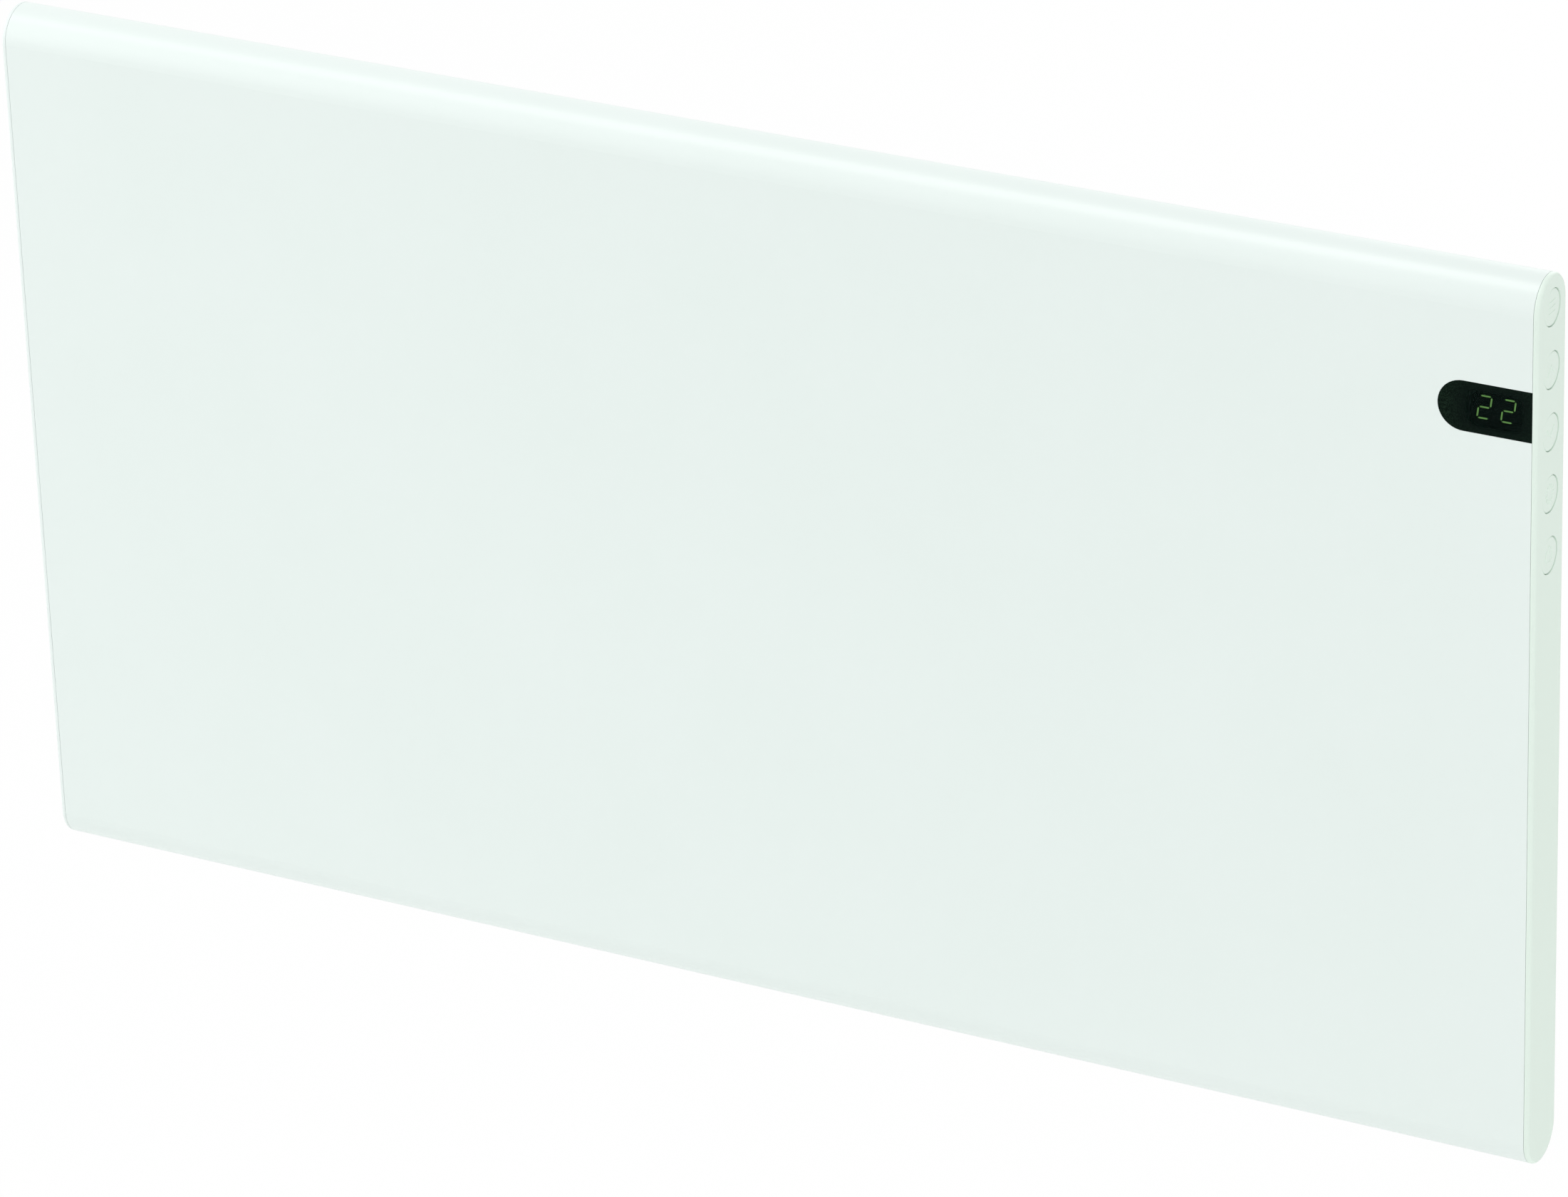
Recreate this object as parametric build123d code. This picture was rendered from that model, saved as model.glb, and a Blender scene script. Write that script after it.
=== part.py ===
from build123d import *
import math
import os

os.makedirs("parts", exist_ok=True)

# A slim electric panel convector that hangs on a steel wall bracket, in millimetres.
# The wall is the plane Y = 0, and the heater's front faces -Y. +Z is up, +X is to the right
# of someone who looks at the front. The origin is the middle of the bracket's wall screws.
# At rest the casing's middle is level with the origin.

# ---------------------------------------------------------------- driving dimensions
# Casing
width = 661.0               # over both end caps
height = 370.0
depth = 26.0                # front to back of the pill-shaped casing
wall_distance = 84.0        # wall to the front of the casing
sheet = 1.0                 # casing steel
fit = 0.15                  # between a moulding and the sheet round it
seam = 0.15                 # hairline between the front sheet and each end cap
lip = 14.0                  # straight return of the front sheet behind each half round
edge_overlap = 12.0         # how far the back sheet reaches under each lip

# End caps
cap_rim = 2.0               # thickness of the rim that shows
cap_rounding = 1.45         # rounding of its outer edge
cap_wall = 1.6
spigot = 12.0               # how far the cap reaches into the casing
cap_rib = 1.2
cap_rib_pitch = 32.0
boss_radius = 3.4
boss_depth = 9.0
cap_screw_drop = 35.0       # lowest button to the upper screw of a cap
cap_screw_rise = 37.0       # casing's bottom to the lower screw

# Buttons in the right end cap
button_count = 5
button_radius = 7.2
button_pitch = 25.0
button_gap = 0.25           # groove round each button
button_flange = 1.2         # thickness of the flange that keeps it in, and its extra radius
button_rounding = 0.35
button_sink = 0.22          # face of a button below the end cap's
button_travel = 0.5
collar_gap = 0.5
collar_wall = 1.2
collar_depth = 3.0
stem_radius = 2.0
stem_length = 3.6

# Display window and the two-digit display behind it
window_height = 20.0
window_length = 37.5
window_drop = 52.35         # top of the casing to the middle of the window
window_flange = 1.6
window_flange_thickness = 0.8
window_gap = 0.15
display_length = 19.8
display_height = 13.0
display_depth = 4.6
display_inset = 17.05       # right end of the casing to the middle of the display
digit_height = 9.0          # between the middles of the top and bottom segments
digit_width = 4.7           # between the middles of the left and right segments
digit_pitch = 9.5
digit_lean = 7.5            # degrees
segment_width = 0.62
segment_gap = 0.4
segment_depth = 0.3
pocket_gap = 0.3
ledge = 1.5

# Circuit boards
board = 1.6
button_board_width = 11.4
button_board_end = 1.0      # board past the first and the last switch
switch_side = 6.0
switch_height = 3.5
actuator_radius = 1.7
actuator_height = 1.5
press_gap = 0.05            # left between stem and switch with the button pressed
power_board_length = 78.0
power_board_height = 112.0
power_board_rise = 12.0     # middle of the board above the middle of the casing
standoff_height = 4.4
standoff_radius = 3.0
board_margin = 6.0          # fixing holes from the board's edges
relay_size = (19.0, 15.0, 15.4)              # width, depth, height, as for the next two
core_size = (30.0, 12.0, 13.0)
bobbin_size = (18.0, 15.0, 26.0)
capacitor_radius = 5.0
capacitor_length = 13.0
capacitor_bevel = 0.5
terminal_pitch = 9.0
terminal_count = 3
terminal_height = 12.0
terminal_depth = 12.0
terminal_edge = 1.0         # block from the foot of the board
terminal_screw_radius = 2.6
terminal_screw_depth = 6.0
terminal_mouth = (5.4, 4.8, 6.0)             # width, depth and length of a wire's mouth
terminal_mouth_inset = 8.4                   # its middle from the block's front

# Air slots in the back sheet
slot_length = 110.0
slot_height = 7.0
slot_pitch_x = 122.0
slot_pitch_z = 12.0
slot_rows = 2
slot_margin = 46.0          # casing's top or bottom to the middle of the slot rows
slot_side = 30.0            # left end of the casing to the first slot
vent_length = 80.0          # of the slots at the electrical end

# Heating element
element_from_hook = 53.0    # middle of the element above the seat of the lower hooks
element_hub = 5.5
element_bore = 3.2
element_fin = 34.0          # length of each of the four fins from the middle
element_fin_angle = 13.0    # from upright, in degrees
element_fin_thickness = 1.4
element_side = 34.0         # left end of the casing to the element
element_plug = 9.0
plug_spigot = 4.0           # part of a plug that sits in the hub
plug_radius = 4.6
pin_radius = 1.6
pin_length = 8.0            # that shows
pin_root = 3.0              # part of a pin past its plug, in the hub
holder_sheet = 1.0
holder_foot = 12.0
holder_height = 84.0
shield_sheet = 0.5
shield_height = 92.0
shield_gap = 2.4            # shield to front sheet

# Electrical compartment
compartment = 124.0         # right end of the casing to the dividing wall
divider_flange = 10.0
grommet_radius = 6.0
grommet_bore = 4.0
grommet_lip = 1.6
cutout_radius = 8.0
cutout_height = 7.0
cutout_rim = 4.2            # height of its straight side
cutout_top = 5.6            # radius of its flat top
tag_width = 6.0
tag_length = 6.0
tag_thickness = 0.8
sensor_radius = 2.5
sensor_length = 24.0
sensor_foot = (6.0, 1.2, 8.0)                # width, thickness, height
sensor_arm = (3.0, 2.0)                      # width, thickness
sensor_foot_gap = 2.0       # foot from the lowest vent

# Cable gland
gland_bore = 4.0
gland_thread = 7.5
gland_flange = 11.0
gland_flange_thickness = 3.0
gland_nose = 9.0
gland_taper = 1.5           # how much narrower the dome starts than the flange
gland_dome = 2.5            # rounding at the nose's tip
gland_nut = 4.0
gland_inner = 8.0
gland_from_side = 72.0      # right end of the casing to the gland
gland_from_bottom = 70.0

# Screws and rivets
screw_radius = 1.5
screw_head = 3.3
screw_head_height = 2.0
screw_length = 7.0
screw_clearance = 0.12
panel_screw_columns = 3
panel_screw_side = 60.0

# Wall bracket
rail_spacing = 302.0        # outside to outside of the two rails
rail_sheet = 2.0
rail_end_gap = 20.0         # rail's end to the casing's lip, with the heater lifted
rail_foot = 30.0            # width against the wall
rail_bend = 3.0             # outside radius of the fold
rail_nose = 12.0            # width of the flange towards the heater
nose_from_hook = 26.0
back_gap = 0.3              # rail to the back of the heater
rail_window = 26.0
rail_window_height = 54.0
rail_window_level = 32.4    # its middle above or below the casing's
hook_from_end = 30.0        # seat of a hook from the rail's end
hook_root = 15.0            # how far a hook runs back into the web
hook_rise = 10.0
hook_neck = 10.0
hook_thickness = 4.5        # of the upturned nose, front to back
hook_throat = 3.0           # space for the heater's back sheet
hook_slot_gap = 0.6         # each side of a hook in its slot
lift = 12.0                 # the heater rises this far to come off its hooks
lift_clearance = 1.0
seat_gap = 0.05
wall_hole_radius = 3.0
wall_hole_x = 270.0         # between the left and right wall screws
hole_from_end = 25.0        # a wall screw from the rail's end
bar_height = 32.0
bar_from_hole = 40.0        # middle of a bar from the wall screws
bar_lip = 7.0
bar_sheet = 1.5
rivet_radius = 2.0
rivet_head = 3.6
rivet_head_height = 1.2

# ---------------------------------------------------------------- places worked out from them
half_w = width / 2
half_h = height / 2
front = -wall_distance
back = front + depth
middle = (front + back) / 2
round_z = half_h - depth / 2            # centre of the half round at the top
inner_front = front + sheet
panel_y = (back - 2 * sheet, back - sheet)      # the back sheet lies inside the lips
panel_end = half_w - cap_rim            # where the sheets end and the caps' rims begin
spigot_y = (inner_front + fit, panel_y[0] - fit)
spigot_x = panel_end - spigot
button_zs = [round_z - i * button_pitch for i in range(button_count)]
button_face = half_w - button_sink
flange_radius = button_radius + button_flange
collar_radius = flange_radius + collar_gap
window_z = half_h - window_drop
window_radius = window_height / 2
window_tip = panel_end - window_length
pocket_half = window_radius + window_flange + pocket_gap
display_x = half_w - display_inset
display_y = (inner_front + window_flange_thickness + window_gap,
             inner_front + window_flange_thickness + window_gap + display_depth)
display_board_x = (window_tip + window_radius, panel_end - collar_depth - pocket_gap)
display_board_y = (display_y[1], display_y[1] + board)
stem_end = panel_end - button_flange - stem_length
switch_top = stem_end - button_travel - press_gap
button_board_x = (switch_top - actuator_height - switch_height - board,
                  switch_top - actuator_height - switch_height)
button_board_y = (display_board_y[1] + ledge, display_board_y[1] + ledge + button_board_width)
rail_x = rail_spacing / 2
rail_face = panel_y[1] + back_gap
rail_half = round_z - lip - lift - lift_clearance - rail_end_gap
hook_level = rail_half - hook_from_end          # hooks above and below the middle
wall_hole_level = rail_half - hole_from_end
bar_level = wall_hole_level - bar_from_hole
nose_half = hook_level - hook_neck - nose_from_hook
hook_slot_height = hook_neck + lift + lift_clearance
divider_x = half_w - compartment
power_x = divider_x + (compartment - spigot - cap_rim) / 2
power_z = power_board_rise
power_board_y = (panel_y[0] - standoff_height - board, panel_y[0] - standoff_height)
element_z = element_from_hook - hook_level
element_x = (-half_w + element_side, divider_x - element_side / 2)
element_y = (inner_front + shield_gap + shield_sheet + panel_y[0]) / 2
gland_x = half_w - gland_from_side
gland_z = -half_h + gland_from_bottom
cap_screw_zs = (button_zs[-1] - cap_screw_drop, -half_h + cap_screw_rise)
cap_screw_x = panel_end - boss_radius - cap_wall


# ---------------------------------------------------------------- shapes used many times
def block(x, y, z):
    """A box from (low, high) along each axis."""
    size = [high - low for low, high in (x, y, z)]
    centre = [(high + low) / 2 for low, high in (x, y, z)]
    return Pos(*centre) * Box(*size)


def along_x(x, y, z):
    return Pos(x, y, z) * Rot(0, 90, 0)


def along_y(x, y, z):
    return Pos(x, y, z) * Rot(-90, 0, 0)


def turned(outline, place):
    """Spins (radius, distance along the axis) points about the axis that place gives."""
    face = make_face(Plane.XZ * Polyline(*outline, close=True))
    return place * revolve(face, Axis.Z)


def ring(outer, inner, length, place):
    return turned([(inner, 0), (outer, 0), (outer, length), (inner, length)], place)


def disc(radius, length, place):
    return turned([(0, 0), (radius, 0), (radius, length), (0, length)], place)


def pill(y, x):
    """An upright pill section between two Y values, extruded along X; the half rounds stay
    centred on the casing's own."""
    thickness = y[1] - y[0]
    section = Plane(origin=(x[0], (y[0] + y[1]) / 2, 0), x_dir=(0, 1, 0), z_dir=(1, 0, 0))
    face = section * SlotOverall(2 * round_z + thickness, thickness, rotation=90)
    return extrude(face, x[1] - x[0])


def upright_sheet(points, thickness, radius, z):
    """A folded sheet: its middle line in plan, its folds' radius, and its (low, high) Z."""
    line = FilletPolyline(*points, radius=radius) if len(points) > 2 else Polyline(*points)
    return extrude(Pos(0, 0, z[0]) * trace(line, thickness), z[1] - z[0])


def window_form(grow, y):
    """The window's outline, half round at the left and square at the end cap."""
    radius = window_radius + grow
    centre = window_tip + window_radius
    length = y[1] - y[0]
    return disc(radius, length, along_y(centre, y[0], window_z)) + block(
        (centre, panel_end), y, (window_z - radius, window_z + radius))


def screw(place, length=screw_length):
    """A cheese-head screw: place is under its head, with the shank along +Z of place."""
    return turned([(0, -screw_head_height), (screw_head, -screw_head_height), (screw_head, 0),
                   (screw_radius, 0), (screw_radius, length), (0, length)], place)


def screw_hole(place, length):
    return disc(screw_radius + screw_clearance, length, place)


def panel_screw_places():
    """Under the heads of the screws that hold the lips to the back sheet."""
    span = width - 2 * panel_screw_side
    step = span / (panel_screw_columns - 1)
    level = round_z - lip / 2
    return [(-span / 2 + i * step, z) for i in range(panel_screw_columns) for z in (level, -level)]


def facing_front(x, y, z):
    """A place whose +Z points to the front, for what goes in from the back."""
    return Pos(x, y, z) * Rot(90, 0, 0)


# ---------------------------------------------------------------- casing
def front_panel():
    x = (seam - panel_end, panel_end - seam)
    shell = pill((front, back), x) - pill((inner_front, back - sheet), x)
    shell -= block(x, (back - 2 * sheet, back + sheet), (lip - round_z, round_z - lip))
    shell -= window_form(window_gap, (front - sheet, inner_front + sheet))
    for px, pz in panel_screw_places():
        shell -= screw_hole(facing_front(px, back + sheet, pz), 3 * sheet)
    return shell


def slot_columns(right):
    """How many slots fit between the left end and a right limit."""
    return int((right + half_w - slot_side) // slot_pitch_x)


def slot_block(z, right):
    columns = slot_columns(right)
    centre = -half_w + slot_side + columns * slot_pitch_x / 2
    return [Pos(centre, z) * place * SlotOverall(slot_length, slot_height)
            for place in GridLocations(slot_pitch_x, slot_pitch_z, columns, slot_rows)]


def hook_slots():
    """Upright slots that hang on the hooks; the top of each one rests on a hook's neck."""
    slots = []
    for side in (-1, 1):
        for level in (hook_level, -hook_level):
            top = level + seat_gap
            x = side * (rail_x - rail_sheet / 2)
            slot = Rectangle(rail_sheet + 2 * hook_slot_gap, hook_slot_height)
            slots.append(Pos(x, top - hook_slot_height / 2) * slot)
    return slots


def rear_panel():
    edge = round_z - lip + edge_overlap
    face = Rectangle(2 * (panel_end - fit), 2 * edge)
    slot_level = half_h - slot_margin
    face -= slot_block(slot_level, divider_x)
    face -= slot_block(-slot_level, divider_x)
    vent = SlotOverall(vent_length, slot_height)
    vents = GridLocations(vent_length, slot_pitch_z, 1, slot_rows)
    face -= [Pos(power_x + board_margin, -slot_level) * place * vent for place in vents]
    face -= hook_slots()
    face -= Pos(gland_x, gland_z) * Circle(gland_thread + fit)
    hole = Circle(screw_radius + screw_clearance)
    face -= [Pos(px, pz) * hole for px, pz in panel_screw_places()]
    face -= [Pos(side * cap_screw_x, z) * hole for side in (-1, 1) for z in cap_screw_zs]
    return extrude(Plane.XZ.offset(-panel_y[1]) * face, sheet)


def cap_blank():
    """Rim and spigot of an end cap for the right end, as one hollow moulding."""
    rim = pill((front, back), (panel_end, half_w))
    outer_edges = rim.faces().sort_by(Axis.X)[-1].edges()
    rim = fillet(outer_edges, cap_rounding)
    x = (spigot_x, panel_end)
    wall = pill(spigot_y, x) - pill((spigot_y[0] + cap_wall, spigot_y[1] - cap_wall), x)
    return rim + wall


def cap_rib_levels(top):
    """Levels of the cross ribs, from near the bottom up to a limit."""
    count = int((top + round_z) // cap_rib_pitch)
    return [-round_z + cap_rib_pitch * (i + 0.5) for i in range(count)]


def cap_ribs(levels):
    y = (spigot_y[0] + cap_wall / 2, spigot_y[1] - cap_wall / 2)
    x = (spigot_x + cap_wall, panel_end + cap_rim / 2)
    ribs = []
    for z in levels:
        if min(abs(z - level) for level in cap_screw_zs) > boss_radius + cap_rib:
            ribs.append(block(x, y, (z - cap_rib / 2, z + cap_rib / 2)))
    return ribs


def with_bosses(cap):
    """Adds the posts that the rear screws bite into, and their pilot holes."""
    seat = spigot_y[1]
    for z in cap_screw_zs:
        web = (z - cap_rib / 2, z + cap_rib / 2)
        cap += disc(boss_radius, boss_depth, facing_front(cap_screw_x, seat, z))
        cap += block((cap_screw_x, panel_end), (seat - boss_depth, seat), web)
        cap -= screw_hole(facing_front(cap_screw_x, seat + fit, z), screw_length + fit)
    return cap


def left_end_cap():
    cap = cap_blank()
    for rib in cap_ribs(cap_rib_levels(round_z)):
        cap += rib
    return mirror(with_bosses(cap), Plane.YZ)


def board_post_levels():
    """The button board's posts stand half-way between the first and the last two buttons."""
    return [button_zs[0] - button_pitch / 2, button_zs[-1] + button_pitch / 2]


def display_pocket():
    """Two walls with ledges that carry the display board behind the window."""
    x = display_board_x
    pieces = []
    for side in (-1, 1):
        edge, outside, inside = (window_z + side * (pocket_half + d) for d in (0, cap_wall, -ledge))
        wall_z = sorted((edge, outside))
        ledge_z = sorted((edge, inside))
        pieces.append(block(x, (spigot_y[0], display_board_y[1] + cap_rib), wall_z))
        pieces.append(block(x, (display_board_y[1], display_board_y[1] + cap_rib), ledge_z))
    return pieces


def right_end_cap():
    cap = cap_blank()
    for rib in cap_ribs(cap_rib_levels(button_zs[-1] - collar_radius - cap_rib_pitch / 2)):
        cap += rib
    notch = (window_z - pocket_half, window_z + pocket_half)
    cap -= block((spigot_x - fit, panel_end), (front, spigot_y[0] + cap_wall + fit), notch)
    for piece in display_pocket():
        cap += piece
    for z in button_zs:
        cap += ring(collar_radius + collar_wall, collar_radius, collar_depth,
                    along_x(panel_end - collar_depth, middle, z))
    for z in board_post_levels():
        length = panel_end - button_board_x[1]
        cap += disc(boss_radius - cap_wall / 2, length, along_x(button_board_x[1], middle, z))
        cap -= screw_hole(along_x(button_board_x[1] - fit, middle, z), screw_length)
    for z in button_zs:
        start = panel_end - cap_rim / 2
        cap -= disc(button_radius + button_gap, 2 * cap_rim, along_x(start, middle, z))
    return with_bosses(cap)


def button(z):
    """A round cap, the flange behind the end cap's wall, and the stem to its switch."""
    flange_back = panel_end - 2 * button_flange
    flange_front = panel_end - pocket_gap
    round_start = button_face - button_rounding
    return turned([(0, stem_end), (stem_radius, stem_end), (stem_radius, flange_back),
                   (flange_radius, flange_back), (flange_radius, flange_front),
                   (button_radius, flange_front), (button_radius, round_start),
                   (button_radius - button_rounding, button_face), (0, button_face)],
                  along_x(0, middle, z))


# ---------------------------------------------------------------- display
def display_window():
    lens = window_form(0, (front, inner_front + window_flange_thickness))
    flange = window_form(window_flange, (inner_front, inner_front + window_flange_thickness))
    body = lens + flange
    return body - block((panel_end - fit / 2, half_w), (front - sheet, back), (-half_h, half_h))


def segment_shapes():
    """The seven bars of a digit as (dx, dz, upright, lit) in a figure two."""
    w, h = digit_width / 2, digit_height / 2
    return [(0, h, False, True), (0, 0, False, True), (0, -h, False, True),
            (w, h / 2, True, True), (-w, -h / 2, True, True),
            (-w, h / 2, True, False), (w, -h / 2, True, False)]


def segment_outline(dx, dz, upright):
    """A bar with pointed ends, leaning with the digit."""
    length = (digit_height / 2 if upright else digit_width) - 2 * segment_gap
    tip = segment_width / 2
    run = length / 2 - tip
    bar = [(-length / 2, 0), (-run, tip), (run, tip), (length / 2, 0), (run, -tip), (-run, -tip)]
    if upright:
        bar = [(v, u) for u, v in bar]
    lean = math.tan(math.radians(digit_lean))
    return [(dx + u + lean * (dz + v), dz + v) for u, v in bar]


def segments(lit):
    """The display's bars, either those that light in a 22 or the rest."""
    bars = []
    for digit_x in (display_x - digit_pitch / 2, display_x + digit_pitch / 2):
        for dx, dz, upright, is_lit in segment_shapes():
            if is_lit == lit:
                face = make_face(Polyline(*segment_outline(dx, dz, upright), close=True))
                place = Plane.XZ.offset(-display_y[0]) * Pos(digit_x, window_z)
                bars.append(extrude(place * face, -segment_depth))
    return bars


def digit_display():
    x = (display_x - display_length / 2, display_x + display_length / 2)
    z = (window_z - display_height / 2, window_z + display_height / 2)
    body = block(x, display_y, z)
    for bar in segments(True) + segments(False):
        body -= bar
    return body


def display_board():
    half = pocket_half - pocket_gap
    return block(display_board_x, display_board_y, (window_z - half, window_z + half))


# ---------------------------------------------------------------- button board
def button_board():
    reach = switch_side / 2 + button_board_end
    z = (button_zs[-1] - reach, button_zs[0] + reach)
    plate = block(button_board_x, button_board_y, z)
    for level in board_post_levels():
        plate -= screw_hole(along_x(button_board_x[0] - board, middle, level), 3 * board)
    return plate


def tact_switches():
    """Five square switches with round actuators, each behind its button's stem."""
    switches = []
    for z in button_zs:
        x0 = button_board_x[1]
        half = switch_side / 2
        body = block((x0, x0 + switch_height), (middle - half, middle + half), (z - half, z + half))
        place = along_x(x0 + switch_height, middle, z)
        switches.append(body + disc(actuator_radius, actuator_height, place))
    return switches


# ---------------------------------------------------------------- power electronics
def power_board_span():
    x = (power_x - power_board_length / 2, power_x + power_board_length / 2)
    z = (power_z - power_board_height / 2, power_z + power_board_height / 2)
    return x, z


def power_board_corners():
    x, z = power_board_span()
    return [(px, pz) for px in (x[0] + board_margin, x[1] - board_margin)
            for pz in (z[0] + board_margin, z[1] - board_margin)]


def power_board():
    x, z = power_board_span()
    plate = block(x, power_board_y, z)
    for px, pz in power_board_corners():
        plate -= screw_hole(along_y(px, power_board_y[0] - board, pz), 3 * board)
    return plate


def board_standoffs():
    return [ring(standoff_radius, screw_radius + screw_clearance, standoff_height,
                 along_y(px, power_board_y[1], pz)) for px, pz in power_board_corners()]


def board_screws():
    """Four in the power board, two in the button board."""
    power = [screw(along_y(px, power_board_y[0], pz), board + standoff_height - fit)
             for px, pz in power_board_corners()]
    buttons = [screw(along_x(button_board_x[0], middle, z)) for z in board_post_levels()]
    return power + buttons


def on_power_board(size, dx, dz):
    """A component (width, depth, height) that stands on the board's front side."""
    w, d, h = size
    y = (power_board_y[0] - d, power_board_y[0])
    x = power_x + dx
    z = power_z + dz
    return block((x - w / 2, x + w / 2), y, (z - h / 2, z + h / 2))


def relay():
    body = on_power_board(relay_size, -power_board_length / 4, power_board_height / 4)
    return fillet(body.edges().filter_by(Axis.Y), button_rounding)


def transformer():
    """A bobbin between the two limbs of its laminated core."""
    dx, dz = power_board_length / 5, power_board_height / 5
    return on_power_board(core_size, dx, dz) + on_power_board(bobbin_size, dx, dz)


def capacitor():
    x = power_x - power_board_length / 4
    z = power_z - capacitor_radius
    shoulder = capacitor_length - capacitor_bevel
    return turned([(0, 0), (capacitor_radius, 0), (capacitor_radius, shoulder),
                   (capacitor_radius - capacitor_bevel, capacitor_length), (0, capacitor_length)],
                  facing_front(x, power_board_y[0], z))


def terminal_block():
    """The mains terminals at the foot of the power board, with wire mouths underneath."""
    size = (terminal_count * terminal_pitch, terminal_depth, terminal_height)
    dz = -power_board_height / 2 + terminal_height / 2 + terminal_edge
    body = on_power_board(size, 0, dz)
    top_y = power_board_y[0] - terminal_depth
    bottom = power_z + dz - terminal_height / 2
    wide, deep, long = terminal_mouth
    for i in range(terminal_count):
        x = power_x + (i - (terminal_count - 1) / 2) * terminal_pitch
        body -= disc(terminal_screw_radius, terminal_screw_depth, along_y(x, top_y, power_z + dz))
        body -= Pos(x, top_y + terminal_mouth_inset, bottom) * Box(wide, deep, 2 * long)
    return body


# ---------------------------------------------------------------- heating
def element_section():
    """The extruded X section: a tubular hub and four fins, two up and two down."""
    face = Circle(element_hub)
    fin = Pos(0, element_fin / 2) * SlotOverall(element_fin, element_fin_thickness, rotation=90)
    for upright in (0, 180):
        for lean in (-element_fin_angle, element_fin_angle):
            face += Rot(0, 0, upright + lean) * fin
    return face - Circle(element_bore)


def heating_element():
    plane = Plane(origin=(element_x[0], element_y, element_z), x_dir=(0, 1, 0), z_dir=(1, 0, 0))
    return extrude(plane * element_section(), element_x[1] - element_x[0])


def element_plugs():
    """Ceramic plugs that close the hub's ends and carry the element in its holders."""
    bore = pin_radius + screw_clearance
    neck = element_bore - screw_clearance
    outline = [(bore, -plug_spigot), (neck, -plug_spigot), (neck, 0), (plug_radius, 0),
               (plug_radius, element_plug), (bore, element_plug)]
    plug = turned(outline, along_x(element_x[1], element_y, element_z))
    middle_x = (element_x[0] + element_x[1]) / 2
    return [mirror(plug, Plane.YZ.offset(middle_x)), plug]


def element_pins():
    """The resistance rod's terminal pins, one out of each plug."""
    length = pin_root + element_plug + pin_length
    starts = (element_x[0] + pin_root - length, element_x[1] - pin_root)
    return [disc(pin_radius, length, along_x(start, element_y, element_z)) for start in starts]


def element_holder(side):
    """A folded steel ear on the back sheet, with a hole round the element's plug."""
    end = element_x[1] if side > 0 else element_x[0]
    centre = end + side * element_plug / 2
    tip = centre - side * holder_foot
    foot_y = panel_y[0] - holder_sheet / 2
    flange_y = inner_front + shield_gap + shield_sheet + holder_sheet / 2
    points = [(tip, foot_y), (centre, foot_y), (centre, flange_y), (tip, flange_y)]
    z = (element_z - holder_height / 2, element_z + holder_height / 2)
    ear = upright_sheet(points, holder_sheet, holder_sheet, z)
    hole = disc(plug_radius + screw_clearance, 2 * holder_foot,
                along_x(centre - holder_foot, element_y, element_z))
    return ear - hole


def heat_shield():
    """A bright sheet between the element and the front, on the holders' front flanges."""
    reach = holder_foot - element_plug / 2
    x = (element_x[0] - reach, element_x[1] + reach)
    y = (inner_front + shield_gap, inner_front + shield_gap + shield_sheet)
    return block(x, y, (element_z - shield_height / 2, element_z + shield_height / 2))


def thermal_cutout():
    """A snap-disc limiter with two tags, on the front flange side of the left holder."""
    x = element_x[0] - element_plug / 2 + 2 * cutout_radius
    z = element_z + holder_height / 2 + cutout_radius
    body = turned([(0, 0), (cutout_radius, 0), (cutout_radius, cutout_rim),
                   (cutout_top, cutout_height), (0, cutout_height)],
                  facing_front(x, panel_y[0], z))
    tag_y = (panel_y[0] - cutout_height - tag_length, panel_y[0] - cutout_rim)
    for side in (-1, 1):
        tag_x = x + side * cutout_radius / 2
        body += block((tag_x - tag_width / 2, tag_x + tag_width / 2), tag_y,
                      (z - tag_thickness / 2, z + tag_thickness / 2))
    return body


def compartment_wall():
    """Keeps the heat out of the electrical end; it is folded onto the back sheet."""
    flange_y = panel_y[0] - sheet / 2
    points = [(divider_x + divider_flange, flange_y), (divider_x, flange_y),
              (divider_x, inner_front + sheet)]
    reach = round_z - sheet
    wall = upright_sheet(points, sheet, sheet, (-reach, reach))
    return wall - disc(grommet_radius, 4 * sheet, along_x(divider_x - 2 * sheet, element_y, element_z))


def lead_grommet():
    """A rubber ring that lines the leads' hole in the compartment wall."""
    groove = sheet + 2 * fit
    outer = grommet_radius + grommet_lip
    inner = grommet_radius - fit
    edge = groove / 2 + grommet_lip
    return turned([(grommet_bore, -edge), (outer, -edge), (outer, -groove / 2), (inner, -groove / 2),
                   (inner, groove / 2), (outer, groove / 2), (outer, edge), (grommet_bore, edge)],
                  along_x(divider_x, element_y, element_z))


def room_sensor():
    """A sealed temperature probe behind the lowest vents, on an arm that rises from its foot."""
    x = power_x + board_margin
    z = -half_h + slot_margin
    probe_y = panel_y[0] - 2 * sensor_radius
    probe = disc(sensor_radius, sensor_length, along_x(x - sensor_length / 2, probe_y, z))
    wide, thick, tall = sensor_foot
    foot_z = z - slot_rows * slot_pitch_z / 2 - sensor_foot_gap
    foot = block((x - wide / 2, x + wide / 2), (panel_y[0] - thick, panel_y[0]),
                 (foot_z - tall / 2, foot_z + tall / 2))
    arm_wide, arm_thick = sensor_arm
    arm_x = (x - arm_wide / 2, x + arm_wide / 2)
    arm_y = (probe_y - arm_thick / 2, probe_y + arm_thick / 2)
    upright = block(arm_x, arm_y, (foot_z, z))
    post_y = (arm_y[0], panel_y[0] - thick / 2)
    post = block(arm_x, post_y, (foot_z - arm_wide / 2, foot_z + arm_wide / 2))
    return probe + upright + post + foot


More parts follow.
